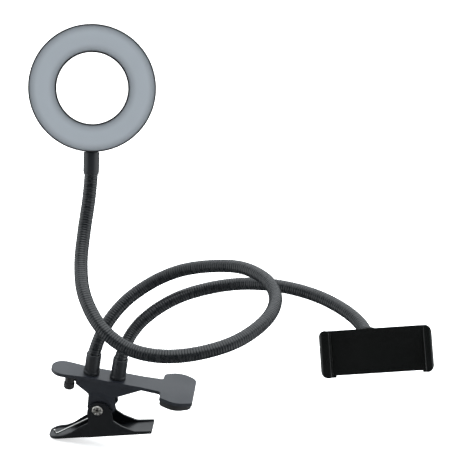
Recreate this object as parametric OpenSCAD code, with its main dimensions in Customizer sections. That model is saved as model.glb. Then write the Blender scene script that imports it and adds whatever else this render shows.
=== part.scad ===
// Clip-on ring light with a phone holder, on two flexible arms.
// Origin: middle of the upper jaw pad's gripping face. +X runs along the clip to its jaw,
// +Y away from the user's side, +Z up.

/* [Clip] */
// Length of the upper lever from the end of its handle to the tip of its jaw
clip_length = 111; // [105:1:118]
// Width of the upper lever's neck
neck_width = 17.4; // [17:0.2:19]
// Width of the paddle-shaped upper jaw
paddle_width = 45.6; // [42:0.4:54]
// Length of the paddle-shaped upper jaw
paddle_length = 25.4; // [22:0.2:28]
// Thickness of the upper lever's plate
plate_thick = 2.8; // [2.6:0.1:3.2]
// Thickness of the rubber under the paddle
pad_thick = 4.5; // [4:0.5:5]
// Angle between the levers when the clip is released
lever_angle = 16; // [12:0.5:17]
// Outer width of the lower lever at its jaw
lower_width = 18.4; // [18.4:0.2:20]

/* [Arms] */
// Outer diameter of both flexible arms
arm_diameter = 9.7; // [9:0.1:9.8]
// Diameter of the lead inside the ring light's arm
lead_diameter = 3; // [2:0.2:3.6]

/* [Ring light] */
// Outer diameter of the ring light
ring_diameter = 90; // [88:1:100]
// Diameter of the hole in the ring light
ring_hole = 50.8; // [44:0.4:52]
// Depth of the ring light, front to back
ring_depth = 13; // [12.5:0.5:16]
// Number of light-emitting diodes
led_count = 36; // [12:1:40]

/* [Phone holder] */
// Width over both jaws with the holder closed
holder_width = 78; // [77:0.2:90]
// Height of the holder's plate
holder_height = 31.6; // [30:0.4:36]
// How far the jaws reach forward of the plate
jaw_reach = 13; // [11:0.5:16]
// Diameter of the ball in the ball joint
ball_diameter = 10; // [9.8:0.1:10]

/* [Hidden] */
$fn = 48;

// Clearance between pieces that lie on each other, running clearance of pins, and overlap of cuts
gap = 0.1;
running = 0.05;
cut = 1;

// Heights of the upper lever's plate, and the pivot
plate_low = pad_thick;
plate_top = pad_thick + plate_thick;
pivot = [-58, 0, plate_top - 26.8];
paddle_right = paddle_length / 2;
handle_left = paddle_right - clip_length;
neck_half = neck_width / 2;
handle_half = neck_half + 1.6;
paddle_half = paddle_width / 2;

// Places of the two arms and the gland along the clip
ring_arm_x = -67.5;
phone_arm_x = -47;
gland_at = [-82.6, -5];
ferrule_height = 17;
shank_r = 3.9;
lead_bore_r = 2.2;

// Cheeks of the upper lever and walls of the lower lever
lower_half = lower_width / 2;
lower_wall = 1.6;
cheek_out = lower_half - lower_wall - 0.3;
cheek_thick = 1.8;
cheek_in = cheek_out - cheek_thick;
pin_r = 2.4;
pin_bore_r = 1.1;
rivet_head_r = 4.15;

// Coils of the torsion spring
wire_r = 0.75;
coil_r = 5;
coil_pitch = 1.8;

// The flexible arms
arm_r = arm_diameter / 2;
arm_bore_r = 2.6;
lead_r = lead_diameter / 2;
arm_sides = 12;
bend_gap = 2.8;
// Route of the ring light's arm: up from the clip, once round in a rising loop, and up again
ring_route = [
    [-67.5, 0, 8], [-67.5, 0, 25], [-63, 8, 44], [-52, 21, 61], [-35, 31, 76], [-15, 30, 91],
    [8, 23, 103], [31, 11, 112], [50, -9, 115], [58, -33, 113], [53, -60, 109], [36, -84, 102],
    [12, -98, 95], [-13, -102, 89.5], [-37, -97, 88], [-58, -87, 95], [-74, -67, 106],
    [-82, -43, 117], [-85, -25, 134], [-86, -14, 154], [-87.5, -7.7, 172], [-89.2, -4.2, 182],
];
ring_bends = [0.1, 1.7, 5, 9, 13, 16.5, 19, 20.9];
// Route of the phone holder's arm: up from the clip, back, and round to the right
phone_route = [
    [-47, 0, 8], [-47, 0, 25], [-42, 13, 41], [-30, 22, 56], [-12, 30, 69], [10, 37, 78],
    [32, 37, 86], [53, 26, 95], [74, 16, 100], [94, 4, 102.5], [111, -11, 103],
    [121.8, -25.3, 102.1], [128.6, -44.1, 101.3],
];
phone_bends = [0.1, 1.7, 5.5, 9.5, 11.52];

// Ring light: place and turn of its centre, and its walls
ring_at = [-97, 10.5, 229.5];
ring_turn = [-19.5, -6.5, 9];
ring_r = ring_diameter / 2;
hole_r = ring_hole / 2;
rim = 1;
ring_front = ring_depth / 2 - 1;
ring_back = ring_front - ring_depth;
cover_thick = 1.6;
neck_y = 1.5;
neck_r = 5.65;
neck_end = ring_r + 16;
board_back = ring_back + 4;
board_thick = 1.2;
board_out = ring_r - 6;
board_in = hole_r + 3;
led_circle = (board_out + board_in) / 2;
lug_circle = ring_r - 3.7;
screw_angles = [45, 135, 225, 315];

// Phone holder: place of its ball, turn, and where the ball is behind the plate
ball_at = [128.6, -44.1, 101.3];
holder_turn = [-28.5, -15.5, 1];
ball_offset = [-3.9, 13, 8.5];
stud_way = [-0.34, 0.94, 0.04];
ball_r = ball_diameter / 2;
seat_in = ball_r + gap;
seat_out = 5.9;
cavity_r = 6.15;
boss_r = 7;
nut_r = 8.4;
holder_half = holder_width / 2;
plate_left = -holder_half + 8.6;
plate_right = holder_half - 5.6;
plate_half = holder_height / 2;
front_thick = 1.6;
shell_back = 6.6;
shell_wall = 1.4;
jaw_low = -plate_half - 1.4;
jaw_high = plate_half;
jaw_wall = 3;
lip_thick = 2.4;
left_lip = 7.2;
right_lip = 5.9;
jaw_step = 1.9;
tongue_low = -10;
tongue_high = 1;
screw_spots = [[-24, 11.4], [-24, -12.4], [27, 11.4], [27, -12.4]];

// ---- Outlines and curves ----

function unit(v) = v / norm(v);

// Points of the rounded corner at p, between the corners a and b; p[2] is its radius
function corner(a, p, b) =
    p[2] == 0 ? [[p.x, p.y]] :
    let (u = unit([a.x - p.x, a.y - p.y]), w = unit([b.x - p.x, b.y - p.y]))
    let (half = acos(u * w) / 2, centre = [p.x, p.y] + unit(u + w) * p[2] / sin(half))
    let (s = [p.x, p.y] + u * p[2] / tan(half) - centre, e = [p.x, p.y] + w * p[2] / tan(half) - centre)
    let (from = atan2(s.y, s.x), turn = atan2(s.x * e.y - s.y * e.x, s * e))
    [for (i = [0:8]) centre + p[2] * [cos(from + turn * i / 8), sin(from + turn * i / 8)]];

// Outline through [x, y, corner radius] points
function rounded(p) =
    let (n = len(p))
    [for (i = [0:n - 1]) each corner(p[(i + n - 1) % n], p[i], p[(i + 1) % n])];

// Point at position t on the smooth curve through a route's points
function at(route, t) =
    let (i = min(floor(t), len(route) - 2), f = t - i)
    let (a = route[max(i - 1, 0)], b = route[i], c = route[i + 1], d = route[min(i + 2, len(route) - 1)])
    (2 * b + (c - a) * f + (2 * a - 5 * b + 4 * c - d) * f * f + (3 * b - a - 3 * c + d) * f * f * f) / 2;

function speed(route, t) = norm(at(route, t + 0.02) - at(route, t - 0.02)) / 0.04;

// Centre line of one stretch of an arm; half a bend's gap is left open at each inner end
function stretch(route, bends, k) =
    let (n = len(bends) - 1)
    let (t0 = bends[k - 1] + (k > 1 ? bend_gap / 2 / speed(route, bends[k - 1]) : 0))
    let (t1 = bends[k] - (k < n ? bend_gap / 2 / speed(route, bends[k]) : 0))
    let (steps = ceil((t1 - t0) * 4.5))
    [for (i = [0:steps]) at(route, t0 + (t1 - t0) * i / steps)];

function tangents(p) =
    let (n = len(p) - 1)
    [for (i = [0:n]) unit(p[min(i + 1, n)] - p[max(i - 1, 0)])];

// Side vectors carried along a centre line without twist
function carried(t, v, i = 0) =
    i == len(t) ? [] :
    let (w = unit(v - (v * t[i]) * t[i]))
    concat([w], carried(t, w, i + 1));

function ring_points(p, t, v, r, sides) =
    [for (k = [0:len(p) - 1], j = [0:sides - 1])
        p[k] + r * (cos(360 * j / sides) * v[k] + sin(360 * j / sides) * cross(t[k], v[k]))];

// Solid or hollow round bar along a centre line
module bar(p, r, bore = 0, sides = 8) {
    t = tangents(p);
    v = carried(t, abs(t[0].z) < 0.9 ? [0, 0, 1] : [1, 0, 0]);
    n = len(p);
    m = n * sides;
    last = m - sides;
    skin = [for (k = [0:n - 2], j = [0:sides - 1]) let (i = (j + 1) % sides)
        [k * sides + j, (k + 1) * sides + j, (k + 1) * sides + i, k * sides + i]];
    if (bore == 0)
        polyhedron(ring_points(p, t, v, r, sides), concat(skin,
            [[for (j = [0:sides - 1]) j]], [[for (j = [sides - 1:-1:0]) last + j]]));
    else
        polyhedron(concat(ring_points(p, t, v, r, sides), ring_points(p, t, v, bore, sides)), concat(skin,
            [for (f = skin) [m + f[3], m + f[2], m + f[1], m + f[0]]],
            [for (j = [0:sides - 1]) let (i = (j + 1) % sides) [j, i, m + i, m + j]],
            [for (j = [0:sides - 1]) let (i = (j + 1) % sides)
                [last + i, last + j, m + last + j, m + last + i]]));
}

// Turns the +Z axis to a direction
module along(place, way) {
    translate(place) rotate([0, acos(way.z / norm(way)), atan2(way.y, way.x)]) children();
}

module tube(r, bore, low, high) {
    difference() {
        translate([0, 0, low]) cylinder(r = r, h = high - low);
        translate([0, 0, low - cut]) cylinder(r = bore, h = high - low + 2 * cut);
    }
}

// Slab in the X-Z plane, from y = low to y = high
module side_slab(outline, low, high) {
    translate([0, high, 0]) rotate([90, 0, 0]) linear_extrude(high - low) polygon(outline);
}

// ---- Clip: upper lever, fixed ----

// Spoon-shaped handle, narrow neck, and paddle with bowed ends
module lever_outline() {
    x = paddle_right;
    polygon(rounded([[handle_left, -handle_half, handle_half - 0.5], [-86, -handle_half, 14],
        [-74, -neck_half, 14], [-28, -neck_half, 20], [-x, -neck_half - 1.1, 2],
        [-x, -paddle_half + 4.6, 1.2], [0, -paddle_half - 0.8, 16], [x, -paddle_half + 4.6, 1.2],
        [x, paddle_half - 5.3, 7], [0, paddle_half + 3, 16], [-x, paddle_half - 5.3, 5],
        [-x, neck_half + 1.1, 2], [-28, neck_half, 20], [-74, neck_half, 14],
        [-86, handle_half, 14], [handle_left, handle_half, handle_half - 0.5]]));
}

// Side outline of a cheek, seen from the front, with the pivot at [0, 0]
cheek_top = plate_low - pivot.z;
cheek = rounded([[-20, cheek_top + 0.4, 0], [-19.6, 18.6, 1.5], [-8.8, 11.9, 2.5], [-8.2, 0, 3],
    [-5, -6.5, 3], [4, -8, 3], [9.5, -5, 3], [13.7, 2.4, 2], [11.4, 12.4, 1.5], [31, cheek_top - 0.6, 3],
    [32, cheek_top + 0.4, 0]]);

// Raised collar round the pivot, sloped outwards, clear of the lower lever's ear
module cheek_collar(side) {
    low = side < 0 ? -cheek_out - 0.9 : cheek_out - 0.1;
    intersection() {
        rotate([side < 0 ? 90 : -90, 0, 0]) rotate_extrude() polygon([[11.6, cheek_out - 0.1],
            [15.4, cheek_out - 0.1], [15.2, cheek_out], [12.2, cheek_out + 0.9], [11.6, cheek_out + 0.9]]);
        side_slab([[0, 0], [11.9, 1], [12.8, 3.5], [12, 8], [11, 12.3], [10.4, 14], [4, 17], [-4, 17],
            [-8, 12.5], [-8, 6]], low - 1, low + 2);
    }
}

module upper_lever() color([0.24, 0.26, 0.29]) {
    difference() {
        union() {
            translate([0, 0, plate_low]) linear_extrude(plate_thick) lever_outline();
            translate(pivot) side_slab(cheek, -cheek_out, -cheek_in);
            translate(pivot) side_slab(cheek, cheek_in, cheek_out);
            translate(pivot) cheek_collar(-1);
            translate(pivot) cheek_collar(1);
        }
        translate([ring_arm_x, 0, 0]) cylinder(r = shank_r + running, h = 10);
        translate([phone_arm_x, 0, 0]) cylinder(r = shank_r + running, h = 10);
        translate([gland_at.x, gland_at.y, 0]) cylinder(r = 2.4 + running, h = plate_low + 2.25);
        translate(pivot + [0, 20, 0]) rotate([90, 0, 0]) cylinder(r = pin_r + running, h = 40);
    }
}

module upper_jaw_pad() color([0.11, 0.12, 0.13]) {
    x = paddle_right - 0.6;
    linear_extrude(pad_thick - 0.01) polygon(rounded([[-x, -paddle_half + 5.2, 4],
        [0, -paddle_half - 0.2, 12], [x, -paddle_half + 6.8, 7], [x, paddle_half - 5.8, 7],
        [0, paddle_half + 2, 14], [-x, paddle_half - 5.8, 6]]));
}

// Flanged ferrule that holds an arm's end, with a hollow threaded shank through the plate
module ferrule(x) color([0.09, 0.1, 0.11]) translate([x, 0, plate_top]) {
    difference() {
        union() {
            cylinder(r = 6.2, h = 2);
            translate([0, 0, 2]) cylinder(r1 = 6.2, r2 = 5.7, h = 0.8);
            cylinder(r = 5.7, h = ferrule_height - 0.6);
            translate([0, 0, ferrule_height - 0.6]) cylinder(r1 = 5.7, r2 = 5.4, h = 0.6);
            translate([0, 0, -plate_thick - 4]) cylinder(r = shank_r, h = plate_thick + 5);
        }
        translate([0, 0, 1.2]) cylinder(r = arm_r + gap, h = ferrule_height);
        translate([0, 0, -plate_thick - 5]) cylinder(r = lead_bore_r, h = 10);
    }
}

module ferrule_nuts() color([0.7, 0.71, 0.73]) {
    for (x = [ring_arm_x, phone_arm_x]) translate([x, 0, plate_low - 3 - 0.02]) difference() {
        cylinder(r = 6, h = 3, $fn = 6);
        translate([0, 0, -cut]) cylinder(r = shank_r + running, h = 3 + 2 * cut);
    }
}

// Gland below the handle that the lead comes out of, with two grooves
module cable_gland() color([0.07, 0.07, 0.08]) translate([gland_at.x, gland_at.y, plate_low - 0.02]) {
    difference() {
        rotate_extrude() polygon([[2, 2.2], [2.4, 2.2], [2.4, 0], [3.7, 0], [3.7, -4.4], [3.2, -4.8],
            [3.2, -5.6], [4.1, -6.2], [4.1, -10], [3.4, -11.1], [1.6, -11.1], [1.6, -4.6], [2, -4.6]]);
        translate([2.5, 0, -2.6]) along([0, 0, 0], [1, 0.6, -0.3]) cylinder(r = 1.7, h = 5, center = true);
    }
}

// Hollow rivet that both levers turn on, with rolled heads
module pivot_rivet() color([0.78, 0.78, 0.76]) translate(pivot) rotate([90, 0, 0]) {
    face = lower_half + 0.15;
    difference() {
        rotate_extrude() polygon([[pin_bore_r, -face - 0.9], [3.1, -face - 1.1], [rivet_head_r, -face - 0.5],
            [rivet_head_r, -face], [pin_r, -face], [pin_r, face], [rivet_head_r, face],
            [rivet_head_r, face + 0.5], [3.1, face + 1.1], [pin_bore_r, face + 0.9]]);
        for (a = [0:60:300]) rotate([0, 0, a]) translate([2.2, -0.25, face + 0.7]) cube([3, 0.5, 1]);
    }
}

// Half of the torsion spring's coils, wound through some degrees from their middle
function coil(side, turn) = [for (i = [0:28])
    let (a = 180 + side * turn * i / 28)
    [coil_r * cos(a), side * (0.95 + coil_pitch * turn * i / 28 / 360), coil_r * sin(a)]];

function reversed(p) = [for (i = [len(p) - 1:-1:0]) p[i]];

module upper_spring_half() color([0.72, 0.72, 0.7]) translate(pivot) {
    leg = [[5, 3.75, 4], [4.2, 3.9, 9], [2.2, 3.9, 14], [1.2, 3.9, 18.4], [0.6, 3.9, 21.6],
        [-0.4, 3.9, 22.9], [-1.6, 3.9, 23.1]];
    bar(concat(reversed(leg), reversed(coil(1, 540))), wire_r);
}

// ---- Clip: lower lever, turns about the rivet ----

module lower_place() {
    translate(pivot) rotate([0, -lever_angle, 0]) children();
}

lower_left = -43.2;
lower_right = 39;
lower_floor = -23.5;
floor_thick = 1.6;
// Side outline of the lower lever: floor, walls that fall away from the ears, and round ears
lower_side = rounded([[lower_left, -21.4, 0.6], [lower_left + 2, lower_floor, 2], [lower_right, lower_floor, 0],
    [lower_right, -21.1, 0], [25.6, -20.5, 8], [16.2, -15.2, 6], [10.6, -10.2, 3], [10.6, 6.5, 9.49],
    [-8.4, 6.5, 9.49], [-8.6, -10.6, 2.5], [-16.7, -14.5, 8], [-24, -18.8, 5], [-30, -20.6, 6]]);

module lower_plan(inset) {
    jaw = lower_half - inset;
    handle = 8.5 - inset;
    polygon(rounded([[lower_left + inset, -handle, handle - 0.1], [-16, -handle, 6], [-9, -jaw, 4],
        [lower_right + (inset > 0 ? 5 : 0), -jaw, 0], [lower_right + (inset > 0 ? 5 : 0), jaw, 0],
        [-9, jaw, 4], [-16, handle, 6], [lower_left + inset, handle, handle - 0.1]]));
}

module lower_lever() color([0.1, 0.11, 0.12]) lower_place() {
    difference() {
        intersection() {
            side_slab(lower_side, -lower_half - 1, lower_half + 1);
            translate([0, 0, -30]) linear_extrude(45) lower_plan(0);
        }
        translate([0, 0, lower_floor + floor_thick]) linear_extrude(45) lower_plan(lower_wall);
        translate([0, 20, 0]) rotate([90, 0, 0]) cylinder(r = pin_r + 0.06, h = 40);
    }
}

// Straight leg from the underside of the coils to the handle's end, hooked up at its tip
module lower_spring_half() color([0.75, 0.75, 0.73]) translate(pivot) {
    side_y = -4;
    leg = [for (p = [[-4, side_y, -7.2], [-12, side_y, -10.6], [-24, side_y, -15.8], [-34.4, side_y, -20.3],
        [-36.2, side_y, -20.7], [-37.3, side_y, -19.8], [-37.4, side_y, -17.6]]) rotated(p)];
    bar(concat(coil(-1, 590), leg), wire_r);
}

// A point of the lower lever's own frame, as it lies when the clip is released
function rotated(p) = [p.x * cos(lever_angle) - p.z * sin(lever_angle), p.y,
    p.x * sin(lever_angle) + p.z * cos(lever_angle)];

// ---- Flexible arms ----

module ring_arm(k) color([0.12, 0.13, 0.15]) {
    bar(stretch(ring_route, ring_bends, k), arm_r, arm_bore_r, arm_sides);
}

module phone_arm(k) color([0.12, 0.13, 0.15]) {
    bar(stretch(phone_route, phone_bends, k), arm_r, arm_bore_r, arm_sides);
}

// Lead from the gland, through the ferrule and the arm, to the ring light
module ring_lead(k) color([0.05, 0.05, 0.06]) {
    inner = stretch(ring_route, ring_bends, k);
    run_in = k == 1 ? [[-79, -3.4, 1.2], [-76, -2.2, -0.8], [-73, -1, -3], [-70.2, -0.3, -4.3],
        [-68.2, 0, -3.4], [-67.5, 0, -1], [-67.5, 0, 2]] : [];
    run_out = k == 7 ? [[-89.9, -2.6, 186.5], [-90.6, -1, 190.8]] : [];
    bar(concat(run_in, inner, run_out), lead_r, 0, 8);
}

// ---- Ring light ----

module ring_place() {
    translate(ring_at) rotate(ring_turn) children();
}

// Turns a shape about +Z into one about the ring's front axis
module facing() {
    rotate([90, 0, 0]) children();
}

module on_circle(r, angles) {
    for (a = angles) rotate([0, 0, a]) translate([r, 0, 0]) children();
}

// Collar that holds the arm's end, with a hollow threaded shank into the ring
module ring_neck() color([0.08, 0.09, 0.1]) ring_place() translate([0, neck_y, 0]) {
    difference() {
        union() {
            translate([0, 0, -neck_end]) cylinder(r1 = 5.2, r2 = neck_r, h = 1);
            translate([0, 0, -neck_end + 1]) cylinder(r = neck_r, h = neck_end - ring_r - 1.3);
            translate([0, 0, -ring_r - 1]) cylinder(r = 2.6, h = 5);
        }
        translate([0, 0, -neck_end - cut]) cylinder(r = arm_r + gap, h = 13.5);
        translate([0, 0, -neck_end]) cylinder(r = 1.9, h = 25);
    }
}

module ring_neck_nut() color([0.7, 0.71, 0.73]) ring_place() {
    translate([0, neck_y, -ring_r + 1.35]) difference() {
        cylinder(r = 4, h = 2.4, $fn = 6);
        translate([0, 0, -cut]) cylinder(r = 2.6 + running, h = 5);
    }
}

module ring_housing() color([0.07, 0.07, 0.08]) ring_place() {
    difference() {
        facing() union() {
            rotate_extrude($fn = 96) polygon([[ring_r - rim, ring_back + cover_thick + gap],
                [ring_r, ring_back + cover_thick + gap], [ring_r, ring_front - 0.6], [ring_r - 0.4, ring_front],
                [ring_r - rim, ring_front]]);
            rotate_extrude($fn = 96) polygon([[hole_r, ring_back + cover_thick + gap],
                [hole_r + rim, ring_back + cover_thick + gap], [hole_r + rim, ring_front],
                [hole_r + 0.4, ring_front], [hole_r, ring_front - 0.6]]);
            rotate_extrude($fn = 96) translate([hole_r + rim - 0.2, 1]) square([1.6, 1]);
            rotate_extrude($fn = 96) translate([ring_r - rim - 1.4, 1]) square([1.6, 1]);
            lugs();
            webs();
        }
        facing() on_circle(lug_circle, screw_angles) {
            translate([0, 0, ring_back]) cylinder(r = 1.05, h = 7);
        }
        translate([0, neck_y, -ring_r - 2]) cylinder(r = 2.6 + running, h = 6);
        translate([-4.3, neck_y - 4, -ring_r + 1.3]) cube([8.6, 8, 3]);
    }
}

// Screw lugs on the inside of the outer wall
module lugs() {
    on_circle(lug_circle, screw_angles) {
        translate([0, 0, ring_back + cover_thick + gap]) cylinder(r = 2, h = 6);
        translate([0, -2, ring_back + cover_thick + gap]) cube([3, 4, 6]);
    }
}

// Flat bridges in the shelf plane that tie the inner wall to the outer one
module webs() {
    on_circle(0, [90, 210, 330]) {
        translate([hole_r + rim - 0.2, -3, 0.2]) cube([ring_r - hole_r - 2 * rim + 0.4, 6, 0.9]);
    }
}

module ring_back_cover() color([0.09, 0.09, 0.1]) ring_place() facing() {
    difference() {
        union() {
            rotate_extrude($fn = 96) polygon([[hole_r, ring_back + cover_thick], [hole_r, ring_back + 1],
                [hole_r + 1, ring_back], [ring_r - 1, ring_back], [ring_r, ring_back + 1],
                [ring_r, ring_back + cover_thick]]);
            on_circle(led_circle, screw_angles + [for (a = screw_angles) 22]) {
                translate([0, 0, ring_back + 0.5]) cylinder(r = 2, h = board_back - ring_back - 0.5 - gap);
            }
        }
        on_circle(lug_circle, screw_angles) translate([0, 0, ring_back - cut]) {
            cylinder(r = 1.3, h = 5);
            cylinder(r = 2.2, h = 0.6 + cut);
        }
        on_circle(led_circle, screw_angles + [for (a = screw_angles) 22]) {
            translate([0, 0, ring_back + 1.5]) cylinder(r = 0.85, h = 5);
        }
    }
}

module screw(head_r, head_h, shaft_r, shaft_h) {
    difference() {
        union() {
            translate([0, 0, -head_h]) cylinder(r = head_r, h = head_h, $fn = 24);
            translate([0, 0, -0.01]) cylinder(r = shaft_r, h = shaft_h, $fn = 24);
        }
        for (a = [0, 90]) rotate([0, 0, a]) {
            translate([-head_r * 0.6, -0.2, -head_h - cut]) cube([head_r * 1.2, 0.4, head_h * 0.5 + cut]);
        }
    }
}

module cover_screws() color([0.3, 0.3, 0.32]) ring_place() facing() {
    on_circle(lug_circle, screw_angles) translate([0, 0, ring_back + 0.57]) screw(2.1, 0.5, 1, 5);
}

// Frosted front ring, gently domed
module diffuser() color([0.74, 0.76, 0.78]) ring_place() facing() {
    low = hole_r + rim + gap;
    high = ring_r - rim - gap;
    mid = (low + high) / 2;
    crown = [for (i = [0:12]) let (s = i / 6 - 1)
        [mid - s * (high - low) / 2, ring_front - 0.9 + 1.4 * (1 - s * s)]];
    rotate_extrude($fn = 96) polygon(concat([[low, 2.1], [high, 2.1]], crown));
}

module led_board() color([0.9, 0.9, 0.88]) ring_place() facing() {
    difference() {
        tube(board_out, board_in, board_back, board_back + board_thick);
        on_circle(led_circle, screw_angles + [for (a = screw_angles) 22]) {
            translate([0, 0, board_back - cut]) cylinder(r = 1, h = 4);
        }
    }
}

module board_screws() color([0.75, 0.75, 0.76]) ring_place() facing() {
    on_circle(led_circle, screw_angles + [for (a = screw_angles) 22]) {
        translate([0, 0, board_back + board_thick + 0.02]) mirror([0, 0, 1]) screw(1.6, 0.8, 0.8, 3);
    }
}

// Light-emitting diodes in two rows, left out where a screw head is
module leds() color([0.95, 0.85, 0.45]) ring_place() facing() {
    for (i = [0:led_count - 1]) rotate([0, 0, 360 * (i + 0.5) / led_count]) {
        translate([led_circle + (i % 2 == 0 ? 3.2 : -3.2) - 1.1, -1.1, board_back + board_thick + 0.02]) {
            cube([2.2, 2.2, 0.7]);
        }
    }
}

// ---- Ball joint ----

// The phone holder's own frame: origin in the middle of its front face, +Y to the back
module holder_place() {
    translate(ball_at) rotate(holder_turn) translate(-ball_offset) children();
}

// Turns a shape about +Z into one about the joint's axis, pointing back from the ball
module behind_ball() {
    holder_place() translate(ball_offset) rotate([-90, 0, 0]) children();
}

module ball_stud() color([0.13, 0.13, 0.14]) along(ball_at, stud_way) {
    union() {
        sphere(r = ball_r);
        cylinder(r = 2, h = 9);
        translate([0, 0, 8.7]) cylinder(r1 = 2, r2 = 2.42, h = 0.5);
        translate([0, 0, 9.2]) cylinder(r = 2.42, h = 5);
    }
}

// Friction seat round the ball, open at its front and back
module ball_seat() color([0.55, 0.56, 0.58]) behind_ball() {
    steps = 14;
    from = -65;
    to = 23;
    rotate_extrude() polygon(concat(
        [for (i = [0:steps]) let (a = from + (to - from) * i / steps) seat_out * [cos(a), sin(a)]],
        [for (i = [steps:-1:0]) let (a = from + (to - from) * i / steps) seat_in * [cos(a), sin(a)]]));
}

module ball_lock_nut() color([0.1, 0.1, 0.11]) behind_ball() {
    difference() {
        rotate_extrude() polygon([[boss_r + 0.08, -5], [nut_r - 0.4, -5], [nut_r, -4.4], [nut_r, 3],
            [nut_r - 0.6, 3.6], [6.6, 3.6], [5.35, 2.5], [boss_r - 0.7, 2.5], [boss_r - 0.7, 1.6],
            [boss_r + 0.08, 1.6]]);
        for (a = [0:15:345]) rotate([0, 0, a]) translate([nut_r + 0.45, 0, -4]) cylinder(r = 0.8, h = 6.6, $fn = 16);
    }
}

// ---- Phone holder ----

function plate_outline(short, inset) = let (z = plate_half - inset) rounded([
    [plate_left + short + inset, -z, 2], [plate_right - short - inset, -z, 2],
    [plate_right - short - inset, z, 2], [plate_left + short + inset, z, 2]]);

module holder_front_plate() color([0.05, 0.05, 0.05]) holder_place() {
    difference() {
        union() {
            side_slab(plate_outline(0, 0), 0, front_thick);
            for (s = screw_spots) translate([s.x, front_thick + 2.8, s.y]) {
                rotate([90, 0, 0]) cylinder(r = 1.9, h = 3);
            }
        }
        for (s = screw_spots) translate([s.x, front_thick + 4, s.y]) rotate([90, 0, 0]) cylinder(r = 1, h = 4.6);
    }
}

module holder_back_shell() color([0.06, 0.06, 0.065]) {
    difference() {
        union() {
            holder_place() difference() {
                side_slab(plate_outline(2, 0), front_thick + gap, shell_back);
                side_slab(plate_outline(2, shell_wall), front_thick, shell_back - shell_wall);
            }
            behind_ball() translate([0, 0, shell_back - ball_offset.y - 0.5]) {
                cylinder(r = boss_r, h = ball_offset.y - shell_back + 0.5 + 1.2);
            }
        }
        behind_ball() sphere(r = cavity_r);
        behind_ball() cylinder(r = cavity_r, h = 4);
        holder_place() {
            for (s = screw_spots) translate([s.x, shell_back + cut, s.y]) {
                rotate([90, 0, 0]) cylinder(r = 1.25, h = 4);
            }
            translate([plate_left + 1, front_thick - 1, tongue_low - 0.4]) {
                cube([4, shell_back - shell_wall - front_thick + 1, tongue_high - tongue_low + 0.8]);
            }
        }
    }
}

module holder_screws() color([0.3, 0.3, 0.32]) holder_place() {
    for (s = screw_spots) translate([s.x, shell_back + 0.02, s.y]) {
        rotate([90, 0, 0]) screw(2, 0.9, 0.95, 4.4);
    }
}

// Tension spring that draws the sliding jaw in
module jaw_spring() color([0.75, 0.75, 0.73]) holder_place() {
    turns = 12;
    spring_z = (tongue_low + tongue_high) / 2;
    bar([for (i = [0:turns * 10]) let (a = 36 * i)
        [4 + 24 * i / turns / 10, 3.5 + 1.2 * cos(a), spring_z + 1.2 * sin(a)]], 0.3, 0, 6);
}

// Jaw seen from above, with its lip turned in over the phone; x runs outward from the plate's end.
// Its floor steps back to pass under the front plate.
function jaw_outline(low, wide, lip) = let (step_y = front_thick + 0.3) rounded([
    [low - jaw_step, shell_back, 0.6], [wide, shell_back, 2], [wide, -jaw_reach, 2.4],
    [wide - lip, -jaw_reach, 0.9], [wide - lip, -jaw_reach + lip_thick, 0.9],
    [wide - jaw_wall, -jaw_reach + lip_thick, 1], [wide - jaw_wall, -gap, 0.5], [low, -gap, 0],
    [low, step_y, 0], [low - jaw_step, step_y, 0]]);

// Jaw on the right, with a lip of its own width and a rounded upper corner
module jaw(low, lip, corner) {
    wide = holder_half;
    lip_y = -jaw_reach + lip_thick;
    intersection() {
        translate([0, 0, jaw_low]) linear_extrude(jaw_high - jaw_low) polygon(jaw_outline(low, wide, lip));
        side_slab(rounded([[low - 10, jaw_low, 0], [wide, jaw_low, 5], [wide, jaw_high, corner],
            [low - 10, jaw_high, 0]]), -jaw_reach - 2, shell_back + 2);
        union() {
            translate([low - 20, lip_y, jaw_low - 1]) cube([wide, 30, jaw_high - jaw_low + 2]);
            side_slab(rounded([[wide - lip, jaw_low, 1.5], [wide + 5, jaw_low, 0], [wide + 5, jaw_high, 0],
                [wide - lip, jaw_high, 2.6]]), -jaw_reach - 2, lip_y + 0.01);
        }
    }
}

module fixed_jaw() color([0.06, 0.06, 0.065]) holder_place() {
    jaw(plate_right + gap, right_lip, 5.5);
}

module jaw_pad() {
    translate([holder_half - jaw_wall - 1.2, -jaw_reach + lip_thick + 1.1, -12]) {
        cube([1.19, jaw_reach - lip_thick - 1.8, 24]);
    }
}

module fixed_jaw_pad() color([0.16, 0.16, 0.17]) holder_place() {
    jaw_pad();
}

module sliding_jaw() color([0.06, 0.06, 0.065]) holder_place() {
    mirror([1, 0, 0]) jaw(-plate_left + 0.4, left_lip, 4);
    difference() {
        translate([plate_left - 2, front_thick + 0.4, tongue_low]) {
            cube([36, shell_back - shell_wall - front_thick - 0.8, tongue_high - tongue_low]);
        }
        translate([-8, front_thick, tongue_low + 3]) cube([5, 5, tongue_high - tongue_low - 6]);
    }
}

module sliding_jaw_pad() color([0.16, 0.16, 0.17]) holder_place() {
    mirror([1, 0, 0]) jaw_pad();
}

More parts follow.
